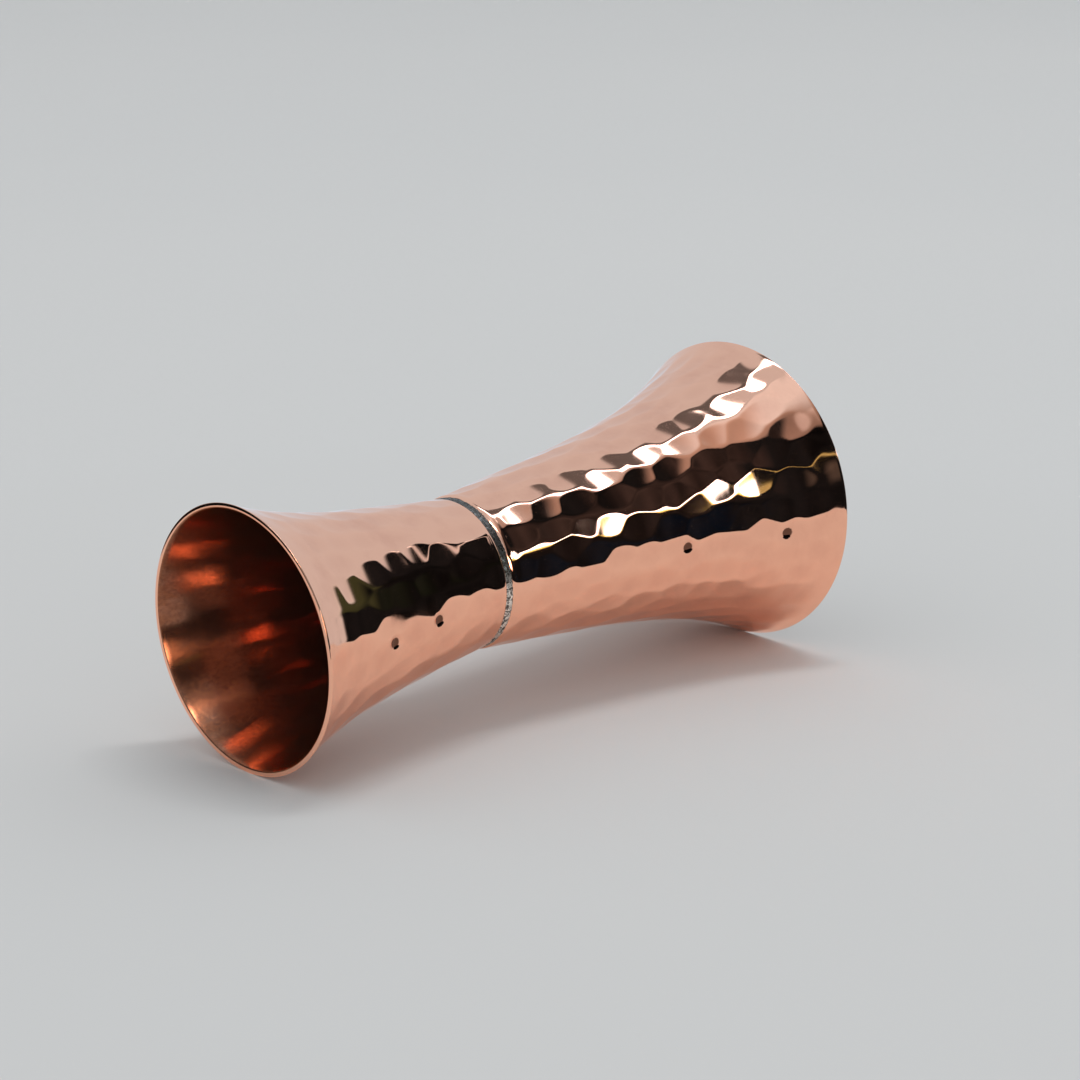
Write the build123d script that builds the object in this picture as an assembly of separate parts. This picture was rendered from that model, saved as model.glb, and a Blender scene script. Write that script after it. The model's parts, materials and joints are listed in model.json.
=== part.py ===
from build123d import *
from math import atan2, degrees, sqrt
import os

# Double jigger: two trumpet-shaped copper cups soldered back to back at their closed ends.
# It lies on its side on the edges of its two mouths, on the plane Z = 0, with its axis over
# the X axis: the small cup is at -X and the large cup at +X. All sizes are in millimetres.

# Sheet that both cups are raised from
WALL = 0.8
CLOSED_END_OUTER_RADIUS = 1.2
CLOSED_END_INNER_RADIUS = 0.8
RIM_SOFTENING = 0.15

# Small cup: 30 ml a little under its brim
SMALL_DEPTH = 45.4
SMALL_MOUTH_RADIUS = 22.1
SMALL_WAIST_RADIUS = 12.75
SMALL_CONE_SHARE = 0.58

# Large cup: 60 ml at its brim
LARGE_DEPTH = 66.4
LARGE_MOUTH_RADIUS = 26.6
LARGE_WAIST_RADIUS = 13.0
LARGE_CONE_SHARE = 0.47

# Both outlines are a cone plus a flare that grows with this power of the distance from the floor
FLARE_POWER = 3.9
OUTLINE_SPANS = 8

# Solder: a film between the two floors, and a crowned bead in the groove round the waist
FILM = 0.2
BEAD_RECESS = 0.2
BEAD_CROWN = 0.1

# Heights on the jigger's own axis, with the small mouth at 0
LARGE_FLOOR = SMALL_DEPTH + FILM
LENGTH = LARGE_FLOOR + LARGE_DEPTH

# Both mouths touch the plane that the jigger lies on, so its axis climbs towards the large cup
TILT = degrees(atan2(LARGE_MOUTH_RADIUS - SMALL_MOUTH_RADIUS, LENGTH))


def outline(waist_radius, mouth_radius, cone_share, depth, inset=0.0):
    """Points (radius, height) of a cup's wall, from its closed end up to its mouth.

    The inset is measured square to the wall, so that the sheet is equally thick all the way."""
    growth = mouth_radius - waist_radius
    points = []
    for step in range(OUTLINE_SPANS + 1):
        share = step / OUTLINE_SPANS
        flare = (1 - cone_share) * share**FLARE_POWER
        flare_slope = (1 - cone_share) * FLARE_POWER * share ** (FLARE_POWER - 1)
        slope = growth * (cone_share + flare_slope) / depth
        radius = waist_radius + growth * (cone_share * share + flare)
        points.append((radius - inset * sqrt(1 + slope**2), depth * share))
    return points


def turned(points):
    """The solid of revolution about Z inside a smooth line through (radius, height) points."""
    with BuildSketch(Plane.XZ) as half_section:
        with BuildLine():
            side = Spline(*points)
            Polyline(side @ 1, (0, points[-1][1]), (0, points[0][1]), side @ 0)
        make_face()
    return revolve(half_section.sketch, Axis.Z)


def lowest_edge(solid):
    """The circle round the flat underside of an upright turned solid."""
    return solid.faces().sort_by(Axis.Z)[0].edges()


def cup_blank(waist_radius, mouth_radius, cone_share, depth):
    """The outer shape of a cup, solid, standing on its closed end at Z = 0."""
    blank = turned(outline(waist_radius, mouth_radius, cone_share, depth))
    return fillet(lowest_edge(blank), CLOSED_END_OUTER_RADIUS)


def cup(waist_radius, mouth_radius, cone_share, depth):
    """One cup of even sheet, standing on its closed end at Z = 0 with its mouth up."""
    inside = turned(outline(waist_radius, mouth_radius, cone_share, depth, WALL))
    inside = split(inside, Plane.XY.offset(WALL), keep=Keep.TOP)
    inside = fillet(lowest_edge(inside), CLOSED_END_INNER_RADIUS)
    shell = cup_blank(waist_radius, mouth_radius, cone_share, depth) - inside
    rim_face = shell.faces().sort_by(Axis.Z)[-1]
    return fillet(rim_face.edges(), RIM_SOFTENING)


SMALL_SIZES = (SMALL_WAIST_RADIUS, SMALL_MOUTH_RADIUS, SMALL_CONE_SHARE, SMALL_DEPTH)
LARGE_SIZES = (LARGE_WAIST_RADIUS, LARGE_MOUTH_RADIUS, LARGE_CONE_SHARE, LARGE_DEPTH)

# Places on the upright axis: the small cup stands mouth down, and the large cup mouth up on it
SMALL_PLACE = Pos(0, 0, SMALL_DEPTH) * Rot(180, 0, 0)
LARGE_PLACE = Pos(0, 0, LARGE_FLOOR)


def solder_joint():
    """Film and bead in one piece: whatever a crowned disc fills between the two closed ends."""
    low = SMALL_DEPTH - CLOSED_END_OUTER_RADIUS
    high = LARGE_FLOOR + CLOSED_END_OUTER_RADIUS
    edge_radius = SMALL_WAIST_RADIUS - BEAD_RECESS
    with BuildSketch(Plane.XZ) as half_section:
        with BuildLine():
            crown = ThreePointArc(
                (edge_radius, low), (edge_radius + BEAD_CROWN, (low + high) / 2), (edge_radius, high)
            )
            Polyline(crown @ 1, (0, high), (0, low), crown @ 0)
        make_face()
    disc = revolve(half_section.sketch, Axis.Z)
    return disc - SMALL_PLACE * cup_blank(*SMALL_SIZES) - LARGE_PLACE * cup_blank(*LARGE_SIZES)


def laid_down(pieces):
    """The upright pieces laid on the plane Z = 0, with the middle of their box at X = 0."""
    lying = {name: Rot(0, 90 - TILT, 0) * piece for name, piece in pieces.items()}
    box = Compound(list(lying.values())).bounding_box()
    drop = Pos(-(box.min.X + box.max.X) / 2, -(box.min.Y + box.max.Y) / 2, -box.min.Z)
    return {name: drop * piece for name, piece in lying.items()}


upright = {
    "small_cup": SMALL_PLACE * cup(*SMALL_SIZES),
    "large_cup": LARGE_PLACE * cup(*LARGE_SIZES),
    "solder_joint": solder_joint(),
}

os.makedirs("parts", exist_ok=True)
for name, piece in laid_down(upright).items():
    export_step(piece, f"parts/{name}.step")
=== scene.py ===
import json
from math import cos, pi, radians, sin

import bpy
import numpy as np
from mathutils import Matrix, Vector

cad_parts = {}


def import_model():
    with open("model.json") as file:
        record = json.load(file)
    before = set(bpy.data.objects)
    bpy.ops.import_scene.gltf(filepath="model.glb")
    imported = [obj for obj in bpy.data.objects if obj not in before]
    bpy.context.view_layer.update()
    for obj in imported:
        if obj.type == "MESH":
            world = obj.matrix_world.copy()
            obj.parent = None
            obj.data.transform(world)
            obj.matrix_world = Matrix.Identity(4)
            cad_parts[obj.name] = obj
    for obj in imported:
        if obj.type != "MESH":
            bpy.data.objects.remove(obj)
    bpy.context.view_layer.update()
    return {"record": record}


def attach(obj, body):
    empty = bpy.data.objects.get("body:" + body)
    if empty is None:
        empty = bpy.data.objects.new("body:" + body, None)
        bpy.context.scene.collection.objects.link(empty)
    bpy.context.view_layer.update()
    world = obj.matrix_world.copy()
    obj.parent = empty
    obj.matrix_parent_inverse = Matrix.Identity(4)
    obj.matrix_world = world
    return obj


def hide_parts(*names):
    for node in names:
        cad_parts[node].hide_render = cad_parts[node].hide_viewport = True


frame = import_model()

# ---------------------------------------------------------------- driving dimensions, in metres
# The same sizes as the CAD cups: depth, mouth radius, waist radius and share of the cone.
# blow is how hard a cup was hammered, and nicks are its small dents: (height, angle from the top).
# rings and seed are those of its outer mesh and of its hammer marks.
SMALL_CUP = {
    "depth": 0.0454,
    "mouth": 0.0221,
    "waist": 0.01275,
    "cone": 0.58,
    "blow": 0.8,
    "nicks": ((0.0278, radians(-94)), (0.0170, radians(-92))),
    "rings": 125,
    "seed": 34,
}
LARGE_CUP = {
    "depth": 0.0664,
    "mouth": 0.0266,
    "waist": 0.0130,
    "cone": 0.47,
    "blow": 1.0,
    "nicks": ((0.0367, radians(-92)), (0.0561, radians(-94))),
    "rings": 176,
    "seed": 24,
}
FLARE_POWER = 3.9
WALL = 0.0008
FILM = 0.0002
CLOSED_END_OUTER_RADIUS = 0.0012
CLOSED_END_INNER_RADIUS = 0.0008
RIM_SOFTENING = 0.00015

# Hammer marks
MARK_ALONG = 0.0054  # from one mark to the next along the jigger
MARK_AROUND = 0.0044  # and round it
MARK_DEPTH = 0.00017
MARK_UNEVEN = 0.2  # share by which a mark may be deeper or shallower
MARK_OVERRUN = 0.03  # share of the cup's depth by which marks may lie past its ends
MARK_REACH = 1.5  # how far a mark can cut, in marks along the jigger
MARK_TRIES = 400  # places tried for each mark
INSIDE_SHARE = 0.25  # of a mark's depth that comes through to the inside
FADE_START = 0.0006  # no marks this near to either end of the wall
FADE_AT_WAIST = 0.0022  # and full marks from here
FADE_AT_MOUTH = 0.005
FACE_RADIUS = 0.045  # of the hammer's crowned face
FLATTENING = 0.78  # share of the wall's own roundness that a blow takes out
RIDGE_ROUND = 0.000016  # height over which two marks blend at their ridge
NICK_RADIUS = 0.0017
NICK_DEPTH = 0.00038
NICK_FLOOR = 0.25  # share of its radius over which a nick is flat, and at which it ends
NICK_EDGE = 0.95
NICK_SHOWS = 0.58  # share of a nick's depth at which painted shade shows, and at which it is darkest
NICK_DARK = 0.72

# Solder bead
BEAD_HALF_WIDTH = 0.0011
BEAD_SINK = 0.00010  # of its edges below the waist
BEAD_CROWN = 0.00015
BEAD_GRAIN = 0.00003
BEAD_LOPSIDED = 0.35  # share by which it is fuller on the small cup's side
BEAD_UNEVEN = 0.25
FILM_MARGIN = 0.0004  # from the film's edge to the bead's

# Mesh density
COLUMNS = 360
CORNER_STEPS = 6
RIM_STEPS = 3
INNER_RINGS = 60
FLOOR_RINGS = 10
BEAD_RINGS = 25
FILM_RINGS = 8
METAL_SCALE = 1000.0  # the patterns in the metal are drawn in millimetres

# ---------------------------------------------------------------- the jigger's place, from the frame
MOUNTS = {mount["name"]: mount for mount in frame["record"]["mounts"]}
AXIS = Vector(MOUNTS["large_mouth_rim"]["axis"]).normalized()
SIDE = Vector((0.0, 1.0, 0.0))
UP = AXIS.cross(SIDE)
SMALL_MOUTH_CENTRE = Vector(MOUNTS["small_mouth_rim"]["pos_m"])
SMALL_MOUTH_CENTRE.y = 0.0
LENGTH = SMALL_CUP["depth"] + FILM + LARGE_CUP["depth"]
MIDDLE = SMALL_MOUTH_CENTRE + AXIS * (LENGTH / 2)
ANGLES = np.linspace(0, 2 * pi, COLUMNS, endpoint=False)


# ---------------------------------------------------------------- outline of a cup
def smoothstep(low, high, value):
    share = np.clip((value - low) / (high - low), 0.0, 1.0)
    return share * share * (3 - 2 * share)


def wall_radius(cup, height, inset=0.0):
    """Radius of the wall at a height above the cup's closed end, inset square to the wall."""
    share = np.clip(height / cup["depth"], 0.0, 1.0)
    growth = cup["mouth"] - cup["waist"]
    flare = (1 - cup["cone"]) * share**FLARE_POWER
    return cup["waist"] + growth * (cup["cone"] * share + flare) - inset * lean(cup, height)


def wall_slope(cup, height):
    """Growth of the wall's radius with height."""
    share = np.clip(height / cup["depth"], 0.0, 1.0)
    flare = (1 - cup["cone"]) * FLARE_POWER * share ** (FLARE_POWER - 1)
    return (cup["mouth"] - cup["waist"]) * (cup["cone"] + flare) / cup["depth"]


def lean(cup, height):
    """Length along the wall for each unit of height."""
    return np.sqrt(1 + wall_slope(cup, height) ** 2)


def rounding(distance, radius):
    """How far a quarter-round corner has drawn in, at a distance from its flat face."""
    left = np.clip(radius - distance, 0.0, radius)
    return radius - np.sqrt(np.maximum(radius**2 - left**2, 0.0))


def ladder(low, high, low_round, high_round, rings):
    """Heights from low to high, bunched up where the two ends are rounded."""
    low_steps = np.linspace(0, pi / 2, CORNER_STEPS, endpoint=False)
    high_steps = np.linspace(0, pi / 2, RIM_STEPS + 1)
    return np.concatenate(
        [
            low + low_round * (1 - np.cos(low_steps)),
            np.linspace(low + low_round, high - high_round, rings, endpoint=False),
            high - high_round * (1 - np.sin(high_steps)),
        ]
    )


# ---------------------------------------------------------------- hammer marks
def hammer_marks(cup):
    """The blows on a cup's wall: (height, angle, depth). Each lies as far from the rest as it gets."""
    draw = np.random.default_rng(cup["seed"])
    middle = float(wall_radius(cup, np.linspace(0, cup["depth"], 50)).mean())
    count = round(2 * pi * middle * cup["depth"] / (MARK_ALONG * MARK_AROUND))
    heights, angles = np.zeros(0), np.zeros(0)
    while len(heights) < count:
        # tries are spread by the wall's area, and distances are counted in mark sizes
        tries = draw.uniform(-MARK_OVERRUN, 1 + MARK_OVERRUN, MARK_TRIES) * cup["depth"]
        tries = tries[draw.uniform(0, cup["mouth"], MARK_TRIES) < wall_radius(cup, tries)]
        turns = draw.uniform(0, 2 * pi, len(tries))
        along = (tries[:, None] - heights) / MARK_ALONG
        turn = (turns[:, None] - angles + pi) % (2 * pi) - pi
        across = turn * wall_radius(cup, tries)[:, None] / MARK_AROUND
        clear = np.min(along**2 + across**2, axis=1, initial=100.0)
        best = int(np.argmax(clear))
        heights = np.append(heights, tries[best])
        angles = np.append(angles, turns[best])
    depths = MARK_DEPTH * draw.uniform(1 - MARK_UNEVEN, 1 + MARK_UNEVEN, count)
    return list(zip(heights, angles, depths))


def offsets(cup, heights, height, angle):
    """Distances along and across the wall from a point on it, for the rings at these heights."""
    turn = (ANGLES - angle + pi) % (2 * pi) - pi
    along = (heights - height)[:, None] + 0 * turn[None, :]
    return along, wall_radius(cup, heights)[:, None] * turn[None, :]


def hammered(cup, heights, marks):
    """How far the hammered wall lies below the turned one, at each height and angle."""
    total = np.ones((len(heights), COLUMNS))
    for height, angle, depth in marks:
        near = np.abs(heights - height) < MARK_REACH * MARK_ALONG
        along, across = offsets(cup, heights[near], height, angle)
        flat = 1 / FACE_RADIUS + FLATTENING / wall_radius(cup, height)
        level = along**2 / (2 * FACE_RADIUS) + across**2 * flat / 2 - depth
        total[near] += np.exp(np.clip(-level * cup["blow"] / RIDGE_ROUND, -60, 60))
    return -np.log(total) * RIDGE_ROUND


def nicked(cup, heights):
    """How far the cup's small nicks go below the wall, at each height and angle."""
    level = np.zeros((len(heights), COLUMNS))
    for height, angle in cup["nicks"]:
        along, across = offsets(cup, heights, height, angle)
        reach = np.sqrt(along**2 + across**2) / NICK_RADIUS
        level -= NICK_DEPTH * (1 - smoothstep(NICK_FLOOR, NICK_EDGE, reach))
    return level


# ---------------------------------------------------------------- meshes
def in_place(station, radius, angle):
    """Points in the frame from the station on the axis, radius and angle, as an array."""
    station, radius, angle = np.broadcast_arrays(station, radius, angle)
    return (
        np.array(SMALL_MOUTH_CENTRE)
        + station[..., None] * np.array(AXIS)
        + (radius * np.cos(angle))[..., None] * np.array(UP)
        + (radius * np.sin(angle))[..., None] * np.array(SIDE)
    )


def add_attribute(mesh, name, kind, field, values):
    layer = mesh.attributes.new(name, kind, "POINT")
    layer.data.foreach_set(field, np.asarray(values, dtype=np.float32).ravel())


def turned_piece(name, stations, radii, mirrored=False):
    """A closed surface from a grid of rings, with a point on the axis at each end.

    mirrored turns the faces over, for rings that run towards the small cup's mouth.
    """
    rings = len(stations)
    points = in_place(stations, radii, ANGLES[None, :]).reshape(-1, 3)
    ends = np.stack([in_place(stations[row].mean(), 0.0, 0.0) for row in (0, -1)])
    column = np.arange(COLUMNS)
    following = (column + 1) % COLUMNS
    faces = []
    for ring in range(rings - 1):
        low, high = ring * COLUMNS, (ring + 1) * COLUMNS
        faces += np.stack([low + column, high + column, high + following, low + following], 1).tolist()
    first, last, top = len(points), len(points) + 1, (rings - 1) * COLUMNS
    faces += np.stack([np.full(COLUMNS, first), column, following], 1).tolist()
    faces += np.stack([np.full(COLUMNS, last), top + following, top + column], 1).tolist()
    if mirrored:
        faces = [face[::-1] for face in faces]
    mesh = bpy.data.meshes.new(name)
    mesh.from_pydata(np.concatenate([points, ends]).tolist(), [], faces)
    mesh.polygons.foreach_set("use_smooth", [True] * len(mesh.polygons))

    # where each point lies on the turned metal: along the axis, and round a circle of waist size at most
    reach = np.minimum(radii, SMALL_CUP["waist"])
    lie = np.stack([stations, reach * np.cos(ANGLES), reach * np.sin(ANGLES)], 2).reshape(-1, 3)
    lie = np.concatenate([lie, [[stations[0, 0], 0, 0], [stations[-1, 0], 0, 0]]])
    add_attribute(mesh, "lie", "FLOAT_VECTOR", "vector", lie * METAL_SCALE)
    piece = bpy.data.objects.new(name, mesh)
    bpy.context.collection.objects.link(piece)
    return piece


def cup_piece(name, cup, closed_end, direction):
    """One hammered cup. Its heights run from its closed end, in the direction of its mouth."""
    depth = cup["depth"]
    marks = hammer_marks(cup)

    outer = ladder(0.0, depth, CLOSED_END_OUTER_RADIUS, RIM_SOFTENING, cup["rings"])
    outer_radius = wall_radius(cup, outer)
    outer_radius = outer_radius - rounding(outer, CLOSED_END_OUTER_RADIUS)
    outer_radius = outer_radius - rounding(depth - outer, RIM_SOFTENING)

    inner = ladder(WALL, depth, CLOSED_END_INNER_RADIUS, RIM_SOFTENING, INNER_RINGS)
    inner_radius = wall_radius(cup, inner, WALL)
    inner_radius = inner_radius - rounding(inner - WALL, CLOSED_END_INNER_RADIUS)
    inner_radius = inner_radius + rounding(depth - inner, RIM_SOFTENING)

    def dented(heights, radii, share):
        """Radii and heights after hammering, moved square to the wall, and how deep the dents are."""
        fade_in = smoothstep(FADE_START, FADE_AT_WAIST, heights)
        fade = fade_in * smoothstep(FADE_START, FADE_AT_MOUTH, depth - heights)
        level = np.minimum(hammered(cup, heights, marks), nicked(cup, heights))
        level = level * fade[:, None] * share
        square = lean(cup, heights)[:, None]
        slope = wall_slope(cup, heights)[:, None]
        return radii[:, None] + level / square, heights[:, None] - level * slope / square, -level

    def floor_rings(height, radius, rising):
        """Flat rings between the axis and a corner."""
        shares = np.linspace(0.04, 1.0, FLOOR_RINGS, endpoint=False)
        shares = shares if rising else shares[::-1]
        radii = np.repeat((shares * radius)[:, None], COLUMNS, 1)
        return radii, np.full_like(radii, height), np.zeros_like(radii)

    parts = [
        floor_rings(0.0, outer_radius[0], True),
        dented(outer, outer_radius, 1.0),
        [grid[::-1] for grid in dented(inner, inner_radius, INSIDE_SHARE)],
        floor_rings(WALL, inner_radius[0], False),
    ]
    radii = np.concatenate([part[0] for part in parts])
    heights = np.concatenate([part[1] for part in parts])
    piece = turned_piece(name, closed_end + direction * heights, radii, mirrored=direction < 0)
    dents = np.concatenate([part[2] for part in parts])
    add_attribute(piece.data, "rise", "FLOAT", "value", np.append(heights / depth, [0.0, 0.0]))
    add_attribute(piece.data, "dent", "FLOAT", "value", np.append(dents / NICK_DEPTH, [0.0, 0.0]))

    # the inside takes the second material
    piece.data.materials.append(polished_copper())
    piece.data.materials.append(satin_copper())
    first_inside = (FLOOR_RINGS + len(outer)) * COLUMNS
    grid_faces = (len(radii) - 1) * COLUMNS
    inside = [first_inside <= face < grid_faces or face >= grid_faces + COLUMNS
              for face in range(len(piece.data.polygons))]
    piece.data.polygons.foreach_set("material_index", np.array(inside, dtype=np.int32))
    return piece


def solder_piece(name):
    """The bead in the groove round the waist, uneven and grainy, with its film between the floors."""
    draw = np.random.default_rng(5)
    across = np.linspace(-1, 1, BEAD_RINGS)[:, None]
    middle = SMALL_CUP["depth"] + FILM / 2
    wobble = np.zeros(COLUMNS)
    for waves in range(3, 22):
        wobble += draw.uniform(0.3, 1.0) / waves * np.cos(waves * ANGLES + draw.uniform(0, 2 * pi))
    # fuller on the small cup's side, which leaves a crevice beside the large cup
    crown = BEAD_CROWN * (1 - across**2) * (1 - BEAD_LOPSIDED * across)
    grain = draw.normal(0, BEAD_GRAIN, (BEAD_RINGS, COLUMNS)) * (1 - across**4)
    edge = SMALL_CUP["waist"] - BEAD_SINK
    bead_radii = edge + crown * (1 + BEAD_UNEVEN * wobble) + grain
    bead_stations = middle + BEAD_HALF_WIDTH * across + 0 * bead_radii
    film = (edge - FILM_MARGIN) * np.linspace(0.1, 0.98, FILM_RINGS)[:, None] + 0 * ANGLES
    radii = np.concatenate([film, bead_radii, film[::-1]])
    stations = np.concatenate(
        [np.full_like(film, middle - FILM / 2), bead_stations, np.full_like(film, middle + FILM / 2)]
    )
    piece = turned_piece(name, stations, radii)
    piece.data.materials.append(silver_solder())
    return piece


# ---------------------------------------------------------------- node trees
class Wiring:
    """Shorthand for building a node tree."""

    def __init__(self, tree):
        self.nodes = tree.nodes
        self.links = tree.links

    def feed(self, socket, value):
        """A linked output or a plain value into a socket."""
        if isinstance(value, bpy.types.NodeSocket):
            self.links.new(value, socket)
        else:
            socket.default_value = value

    def maths(self, kind, *values):
        node = self.nodes.new("ShaderNodeMath")
        node.operation = kind
        for socket, value in zip(node.inputs, values):
            self.feed(socket, value)
        return node.outputs[0]

    def vector(self, kind, *values):
        node = self.nodes.new("ShaderNodeVectorMath")
        node.operation = kind
        for socket, value in zip(node.inputs, values):
            self.feed(socket, value)
        return node.outputs[0]

    def tinted(self, share, colour):
        """A colour scaled by a share."""
        node = self.nodes.new("ShaderNodeVectorMath")
        node.operation = "SCALE"
        node.inputs[0].default_value = colour
        self.links.new(share, node.inputs["Scale"])
        return node.outputs[0]

    def between(self, value, low, high, start=0.0, end=1.0):
        """The value's place from low to high, clamped, as a number from start to end."""
        node = self.nodes.new("ShaderNodeMapRange")
        self.feed(node.inputs["Value"], value)
        for name, number in (("From Min", low), ("From Max", high), ("To Min", start), ("To Max", end)):
            node.inputs[name].default_value = number
        return node.outputs[0]

    def band(self, value, low, high, soft):
        """1 from low to high, falling to 0 over soft."""
        rise = self.between(value, low - soft / 2, low + soft / 2)
        fall = self.between(value, high - soft / 2, high + soft / 2, 1.0, 0.0)
        return self.maths("MULTIPLY", rise, fall)

    def noise(self, where, scale, detail=2.0, roughness=0.5, stretch=None):
        """Smooth noise from 0 to 1, with its coordinates stretched first if asked."""
        if stretch is not None:
            where = self.vector("MULTIPLY", where, stretch)
        node = self.nodes.new("ShaderNodeTexNoise")
        self.links.new(where, node.inputs["Vector"])
        node.inputs["Scale"].default_value = scale
        node.inputs["Detail"].default_value = detail
        node.inputs["Roughness"].default_value = roughness
        return node.outputs["Fac"]

    def blend(self, share, first, second):
        """From the first colour to the second."""
        node = self.nodes.new("ShaderNodeMix")
        node.data_type = "RGBA"
        self.feed(node.inputs["Factor"], share)
        self.feed(node.inputs["A"], first)
        self.feed(node.inputs["B"], second)
        return node.outputs["Result"]

    def bump(self, height, strength, distance):
        node = self.nodes.new("ShaderNodeBump")
        node.inputs["Strength"].default_value = strength
        node.inputs["Distance"].default_value = distance
        self.links.new(height, node.inputs["Height"])
        return node.outputs["Normal"]

    def attribute(self, name):
        node = self.nodes.new("ShaderNodeAttribute")
        node.attribute_name = name
        return node.outputs["Vector"]

    def number(self, name):
        """A mesh attribute that holds one number."""
        node = self.nodes.new("ShaderNodeAttribute")
        node.attribute_name = name
        return node.outputs["Fac"]


def all_of(wiring, *shares):
    """Where all of these shares overlap."""
    product = shares[0]
    for share in shares[1:]:
        product = wiring.maths("MULTIPLY", product, share)
    return product


# ---------------------------------------------------------------- materials
def new_material(name):
    """A material, its wiring and its shader."""
    material = bpy.data.materials.new(name)
    material.use_nodes = True
    return material, Wiring(material.node_tree), material.node_tree.nodes["Principled BSDF"]


COPPER = (0.97, 0.50, 0.34, 1)
# tarnish, and painted shade in the hammer dents
COPPER_TARNISH_AND_DENT_SHADE = (0.72, 0.32, 0.22, 1)
# painted shade in the nicks
COPPER_NICK_SHADE = (0.16, 0.07, 0.045, 1)
COPPER_EDGE = (1.0, 0.91, 0.86, 1)
COPPER_INSIDE = (0.57, 0.29, 0.20, 1)
COPPER_INSIDE_DULL = (0.36, 0.135, 0.07, 1)
COPPER_INSIDE_STAIN = (0.16, 0.065, 0.045, 1)
COPPER_INSIDE_EDGE = (0.60, 0.36, 0.26, 1)
SOLDER = (0.95, 0.86, 0.77, 1)
# dark of the solder's pits, and painted shade in its crevice
SOLDER_PITS_AND_SHADE = (0.10, 0.085, 0.075, 1)


def polished_copper():
    """The outside: mirror bright, with fine turned polishing lines, faint tarnish, and painted shade in
    the hammer dents and nicks.
    """
    known = bpy.data.materials.get("polished_copper")
    if known:
        return known
    material, wiring, shader = new_material("polished_copper")
    lie = wiring.attribute("lie")
    lines = wiring.noise(lie, 1.0, 4.0, 0.6, (7.0, 0.25, 0.25))
    clouds = wiring.noise(lie, 0.16, 5.0, 0.62)
    specks = wiring.noise(lie, 1.1, 4.0, 0.65, (1.2, 0.6, 0.6))
    tarnish = wiring.between(clouds, 0.48, 0.78, 0.0, 0.35)
    spots = wiring.between(specks, 0.58, 0.74, 0.0, 0.6)
    spots = wiring.maths("MULTIPLY", spots, wiring.between(clouds, 0.52, 0.62))
    # painted shade: the copper darkens towards the middle of each hammer dent, which shows the facets
    dents = wiring.between(wiring.number("dent"), 0.1, 0.45, 0.0, 0.18)
    tarnish_and_dent_shade = wiring.maths("MAXIMUM", wiring.maths("ADD", tarnish, dents), spots)
    # painted shade: the deep middle of each nick is painted dark
    nick = wiring.between(wiring.number("dent"), NICK_SHOWS, NICK_DARK)
    colour = wiring.blend(nick, wiring.blend(tarnish_and_dent_shade, COPPER, COPPER_TARNISH_AND_DENT_SHADE), COPPER_NICK_SHADE)
    wiring.feed(shader.inputs["Base Color"], colour)
    shader.inputs["Specular Tint"].default_value = COPPER_EDGE
    shader.inputs["Metallic"].default_value = 1.0
    brushed = wiring.between(lines, 0.35, 0.75, 0.03, 0.08)
    rough = wiring.maths("ADD", brushed, wiring.maths("MULTIPLY", tarnish_and_dent_shade, 0.12))
    wiring.feed(shader.inputs["Roughness"], rough)
    wiring.feed(shader.inputs["Normal"], wiring.bump(lines, 0.12, 0.000004))
    return material


def satin_copper():
    """The inside: spun and left satin, darker and browner than the outside, and duller towards the
    mouth.
    """
    known = bpy.data.materials.get("satin_copper")
    if known:
        return known
    material, wiring, shader = new_material("satin_copper")
    lie = wiring.attribute("lie")
    rise = wiring.number("rise")
    lines = wiring.noise(lie, 1.0, 4.0, 0.6, (6.0, 0.15, 0.15))
    clouds = wiring.noise(lie, 0.30, 5.0, 0.65, (0.35, 1.0, 1.0))
    mouth = wiring.between(rise, 0.45, 1.0, 0.0, 0.9)
    cloudy = wiring.between(clouds, 0.45, 0.70, -0.1, 0.5)
    dull = wiring.maths("ADD", cloudy, mouth)
    grain = wiring.noise(lie, 2.6, 6.0, 0.8, (0.6, 1.0, 1.0))
    colour = wiring.blend(dull, COPPER_INSIDE, COPPER_INSIDE_DULL)
    colour = wiring.blend(wiring.between(grain, 0.42, 0.68, 0.0, 0.75), colour, COPPER_INSIDE_STAIN)
    wiring.feed(shader.inputs["Base Color"], colour)
    shader.inputs["Specular Tint"].default_value = COPPER_INSIDE_EDGE
    shader.inputs["Metallic"].default_value = 0.94
    wiring.feed(shader.inputs["Roughness"], wiring.between(dull, 0.0, 1.2, 0.08, 0.24))
    shader.inputs["Anisotropic"].default_value = 0.7
    shader.inputs["Anisotropic Rotation"].default_value = 0.25
    tangent = wiring.nodes.new("ShaderNodeTangent")
    tangent.direction_type = "RADIAL"
    tangent.axis = "X"
    wiring.feed(shader.inputs["Tangent"], tangent.outputs[0])
    wiring.feed(shader.inputs["Normal"], wiring.bump(lines, 0.25, 0.00001))
    return material


def silver_solder():
    """The bead: bright in places in its grain, dark and pitted in the rest of it, darker on its upper
    side, with painted shade in its crevice beside the large cup.
    """
    material, wiring, shader = new_material("silver_solder")
    lie = wiring.attribute("lie")
    grain = wiring.noise(lie, 1.9, 4.0, 0.7)
    along = wiring.nodes.new("ShaderNodeSeparateXYZ")
    wiring.links.new(lie, along.inputs[0])
    # painted shade: the bead is dark past its crevice on the large cup's side
    crevice = (SMALL_CUP["depth"] + 0.6 * BEAD_HALF_WIDTH) * METAL_SCALE
    clear_of_crevice_shade = wiring.between(along.outputs[0], crevice - 0.2, crevice + 0.05, 1.0, 0.0)
    # darker on its upper side
    lower_side = wiring.between(along.outputs[1], 0.0, 6.0, 1.0, 0.08)
    bright = all_of(wiring, wiring.between(grain, 0.46, 0.52), clear_of_crevice_shade, lower_side)
    wiring.feed(shader.inputs["Base Color"], wiring.blend(bright, SOLDER_PITS_AND_SHADE, SOLDER))
    shader.inputs["Metallic"].default_value = 1.0
    wiring.feed(shader.inputs["Roughness"], wiring.between(grain, 0.4, 0.65, 0.5, 0.16))
    wiring.feed(shader.inputs["Normal"], wiring.bump(grain, 0.9, 0.00008))
    return material


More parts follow.
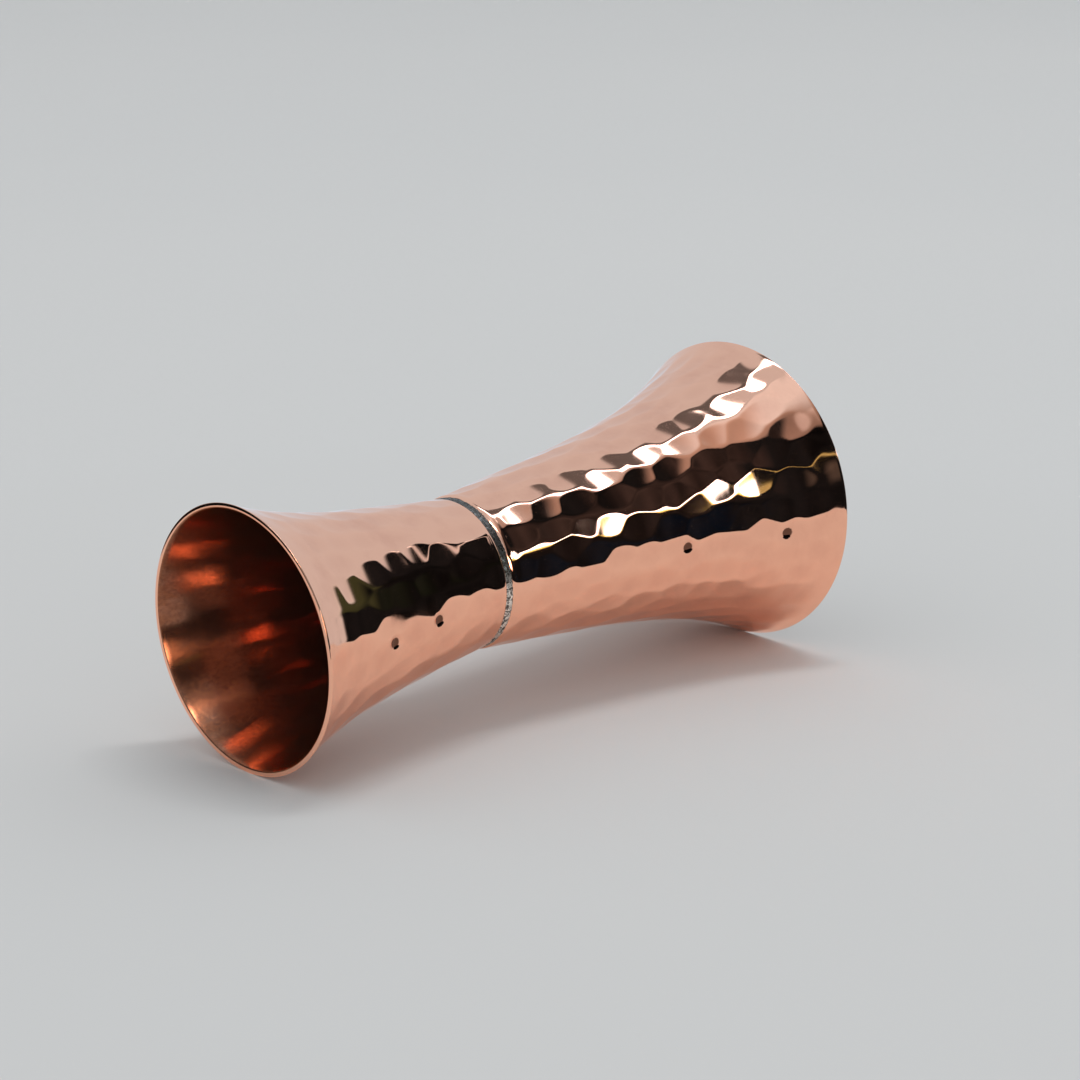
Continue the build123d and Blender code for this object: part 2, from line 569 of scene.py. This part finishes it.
def paper(name, first, second):
    """Smooth paper with a faint fibre, clouded between two pale colours."""
    material, wiring, shader = new_material(name)
    where = wiring.nodes.new("ShaderNodeTexCoord").outputs["Object"]
    wiring.feed(shader.inputs["Base Color"], wiring.blend(wiring.noise(where, 3.0, 3.0), first, second))
    shader.inputs["Roughness"].default_value = 0.9
    shader.inputs["Specular IOR Level"].default_value = 0.1
    fibre = wiring.noise(where, 900.0, 3.0, 0.6)
    wiring.feed(shader.inputs["Normal"], wiring.bump(fibre, 0.1, 0.00005))
    return material


# ---------------------------------------------------------------- the jigger
pieces = {
    "small_cup": cup_piece("small_cup_hammered", SMALL_CUP, SMALL_CUP["depth"], -1),
    "large_cup": cup_piece("large_cup_hammered", LARGE_CUP, SMALL_CUP["depth"] + FILM, 1),
    "solder_joint": solder_piece("solder_bead"),
}
for node, piece in pieces.items():
    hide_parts(node)
    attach(piece, "root")

# ---------------------------------------------------------------- studio
FLOOR_RADIUS = 6.0
CARD_RADIUS = 0.17
CARD_LIFT = 0.00001
SPOKES = 96
ROOM_LIGHT = (0.71, 0.72, 0.725)
STRIP_PLACE = Vector((0.30, -0.08, 1.8))
STRIP_TURN = radians(-34)
STRIP_LENGTH = 1.0
STRIP_WIDTH = 0.25
STRIP_POWER = 8.5


def disc(name, radius, height, material):
    """A flat disc round the origin."""
    turns = [2 * pi * spoke / SPOKES for spoke in range(SPOKES)]
    mesh = bpy.data.meshes.new(name)
    points = [(radius * cos(turn), radius * sin(turn), height) for turn in turns]
    mesh.from_pydata(points, [], [list(range(SPOKES))])
    mesh.materials.append(material)
    piece = bpy.data.objects.new(name, mesh)
    bpy.context.collection.objects.link(piece)
    return piece


def floor():
    """The floor that is seen, and the paler card on it that only the metal mirrors."""
    sheet_paper = paper("floor_paper", (0.60, 0.61, 0.615, 1), (0.63, 0.635, 0.635, 1))
    sheet = disc("floor", FLOOR_RADIUS, 0.0, sheet_paper)
    sheet.visible_glossy = False
    card_paper = paper("card_paper", (0.70, 0.70, 0.70, 1), (0.75, 0.75, 0.75, 1))
    card = disc("mirrored_card", CARD_RADIUS, CARD_LIFT, card_paper)
    card.visible_camera = False
    card.visible_diffuse = False
    card.visible_shadow = False


def strip_light():
    """The strip light overhead, which casts the shadows. The metal mirrors the one in the world."""
    lamp = bpy.data.lights.new("strip_light", "AREA")
    lamp.shape = "RECTANGLE"
    lamp.size = STRIP_LENGTH
    lamp.size_y = STRIP_WIDTH
    lamp.energy = STRIP_POWER
    light = bpy.data.objects.new("strip_light", lamp)
    light.location = STRIP_PLACE
    light.rotation_euler = (0, 0, STRIP_TURN)
    light.visible_glossy = False
    bpy.context.collection.objects.link(light)


# What the metal mirrors, by compass angle and height in degrees. The room behind the camera is dark.
# The floor is lit apart from this, by the room and the strip light, which the metal doesn't mirror.
PALE = (0.64, 0.77, 0.88)
PANEL_EDGE = (0.72, 0.53, 0.43, 1)
STRIP_GLOW = (4.0, 5.0, 6.0)
DARK_HIGH = (0.034, 0.029, 0.028)
DARK_LOW = (0.006, 0.008, 0.010)
# (azimuth from, to, elevation from, to, softness, colour)
DIM_LIGHTS = (
    (-79, -54, 22.0, 25.6, 0.6, (4.5, 6.0, 7.0)),
    (-79, -54, 20.2, 21.8, 0.6, (1.5, 1.6, 0.5)),
    (-104, -79, 24.0, 25.4, 0.8, (0.60, 0.62, 0.26)),
    (-22, -12, 4.0, 24.0, 3.0, (0.040, 0.060, 0.024)),
    (-34, -23, 8.0, 15.0, 4.0, (0.004, 0.009, 0.004)),
    (-36, -10, 36.0, 37.2, 0.6, (0.8, 0.9, 1.0)),
    (-75, -58, -4.0, 4.0, 4.0, (0.000, 0.004, 0.014)),
    (-165, -130, 54.5, 61.0, 2.0, (20.0, 16.0, 13.0)),
    (-128, -104, 48.0, 58.0, 2.0, (0.3, 0.35, 0.4)),
    (-136, -113, 5.0, 18.0, 3.0, (12.0, 8.5, 6.4)),
    (-110, -98, 8.0, 20.0, 4.0, (0.10, 0.10, 0.09)),
)


def directions(wiring):
    """The direction looked in: azimuth and elevation, and its place on a level ceiling at height 1."""
    split = wiring.nodes.new("ShaderNodeSeparateXYZ")
    where = wiring.nodes.new("ShaderNodeTexCoord").outputs["Generated"]
    wiring.links.new(where, split.inputs[0])
    x, y, z = split.outputs
    height = wiring.maths("MAXIMUM", z, 0.02)
    return {
        "where": where,
        "azimuth": wiring.maths("MULTIPLY", wiring.maths("ARCTAN2", y, x), 180 / pi),
        "elevation": wiring.maths("MULTIPLY", wiring.maths("ARCSINE", z), 180 / pi),
        "ceiling_x": wiring.maths("DIVIDE", x, height),
        "ceiling_y": wiring.maths("DIVIDE", y, height),
    }


def slanted(wiring, view, x_share, y_share):
    """A slanted measure across the ceiling."""
    return wiring.maths(
        "ADD",
        wiring.maths("MULTIPLY", view["ceiling_x"], x_share),
        wiring.maths("MULTIPLY", view["ceiling_y"], y_share),
    )


def mirrored_studio(wiring):
    """The colour that the metal mirrors in each direction."""
    view = directions(wiring)
    # the dark room starts at the near edge of the pale overhead panel
    panel = slanted(wiring, view, -0.85, 1.0)
    front = all_of(
        wiring,
        wiring.between(panel, -0.84, -0.76, 1.0, 0.0),
        wiring.between(view["azimuth"], -14, -12, 1.0, 0.0),
        wiring.between(view["elevation"], 59, 61, 1.0, 0.0),
    )
    rear = all_of(
        wiring,
        wiring.between(view["azimuth"], 100, 108),
        wiring.between(view["elevation"], 42, 46, 1.0, 0.0),
    )
    dark = wiring.maths("MAXIMUM", front, rear)

    # the strip light crosses the panel, with a dark gap behind it
    across = slanted(wiring, view, 0.56, 0.83)
    along = slanted(wiring, view, 0.83, -0.56)
    above = wiring.between(view["elevation"], 4, 6)
    length = wiring.maths("MULTIPLY", wiring.band(along, -0.15, 0.66, 0.04), above)
    strip = all_of(wiring, wiring.band(across, 0.14, 0.26, 0.02), length)
    gap = all_of(wiring, wiring.band(across, 0.26, 0.44, 0.03), length)
    # and in front of it the panel brightens with height
    height = wiring.between(view["elevation"], 52, 72, 0.6, 1.3)
    front_panel = wiring.band(view["azimuth"], -140, -25, 20)
    more = wiring.maths("MULTIPLY", front_panel, wiring.maths("SUBTRACT", height, 1.0))
    glow = wiring.maths("ADD", 1.0, more)

    unlit = wiring.maths("MAXIMUM", dark, wiring.maths("MULTIPLY", gap, 0.8))
    lit = all_of(wiring, wiring.maths("SUBTRACT", 1.0, unlit), glow)
    # its near edge is warmer
    edge = all_of(wiring, wiring.band(panel, -0.9, -0.45, 0.2), front_panel)
    warmth = wiring.blend(edge, (1, 1, 1, 1), PANEL_EDGE)
    colour = wiring.vector("MULTIPLY", wiring.tinted(lit, PALE), warmth)
    colour = wiring.vector("ADD", colour, wiring.tinted(strip, STRIP_GLOW))

    # the dark room is warmer above, and a little uneven
    warm_front = wiring.band(view["azimuth"], -76, -48, 14)
    clutter = wiring.between(wiring.noise(view["where"], 4.0, 2.0), 0.35, 0.65, 0.4, 1.6)
    warm = all_of(wiring, clutter, wiring.between(view["elevation"], 6, 30), warm_front)
    colour = wiring.vector("ADD", colour, wiring.tinted(warm, DARK_HIGH))
    colour = wiring.vector("ADD", colour, wiring.tinted(clutter, DARK_LOW))
    for west, east, low, high, soft, tint in DIM_LIGHTS:
        share = all_of(
            wiring,
            wiring.band(view["azimuth"], west, east, 2 * soft),
            wiring.band(view["elevation"], low, high, soft),
        )
        colour = wiring.vector("ADD", colour, wiring.tinted(share, tint))
    return colour


def world():
    """An even pale room for the floor, and the mirrored studio for the metal."""
    studio = bpy.data.worlds.new("studio")
    bpy.context.scene.world = studio
    studio.use_nodes = True
    wiring = Wiring(studio.node_tree)
    wiring.nodes.clear()
    mirrored = wiring.nodes.new("ShaderNodeBackground")
    wiring.feed(mirrored.inputs["Color"], mirrored_studio(wiring))
    room = wiring.nodes.new("ShaderNodeBackground")
    room.inputs["Color"].default_value = (*ROOM_LIGHT, 1)
    rays = wiring.nodes.new("ShaderNodeLightPath")
    pick = wiring.nodes.new("ShaderNodeMixShader")
    output = wiring.nodes.new("ShaderNodeOutputWorld")
    wiring.feed(pick.inputs[0], rays.outputs["Is Glossy Ray"])
    wiring.feed(pick.inputs[1], room.outputs[0])
    wiring.feed(pick.inputs[2], mirrored.outputs[0])
    wiring.feed(output.inputs[0], pick.outputs[0])


floor()
strip_light()
world()

# ---------------------------------------------------------------- camera
CAMERA_AZIMUTH = radians(-42.7)
CAMERA_ELEVATION = radians(15.9)
CAMERA_DISTANCE = 0.541
LENS_MM = 108
SENSOR_MM = 36
AIM_RIGHT = 0.0059
AIM_UP = 0.0032


def camera():
    """Looks down at the jigger from its small end."""
    back = Vector(
        (
            sin(CAMERA_AZIMUTH) * cos(CAMERA_ELEVATION),
            -cos(CAMERA_AZIMUTH) * cos(CAMERA_ELEVATION),
            sin(CAMERA_ELEVATION),
        )
    )
    right = Vector((cos(CAMERA_AZIMUTH), sin(CAMERA_AZIMUTH), 0))
    aim = MIDDLE + right * AIM_RIGHT + back.cross(right) * AIM_UP
    lens = bpy.data.cameras.new("camera")
    lens.lens = LENS_MM
    lens.sensor_width = SENSOR_MM
    lens.clip_start = 0.01
    eye = bpy.data.objects.new("camera", lens)
    eye.location = MIDDLE + back * CAMERA_DISTANCE
    eye.rotation_euler = (aim - eye.location).to_track_quat("-Z", "Y").to_euler()
    bpy.context.collection.objects.link(eye)
    bpy.context.scene.camera = eye


camera()
bpy.context.scene.view_settings.view_transform = "Standard"
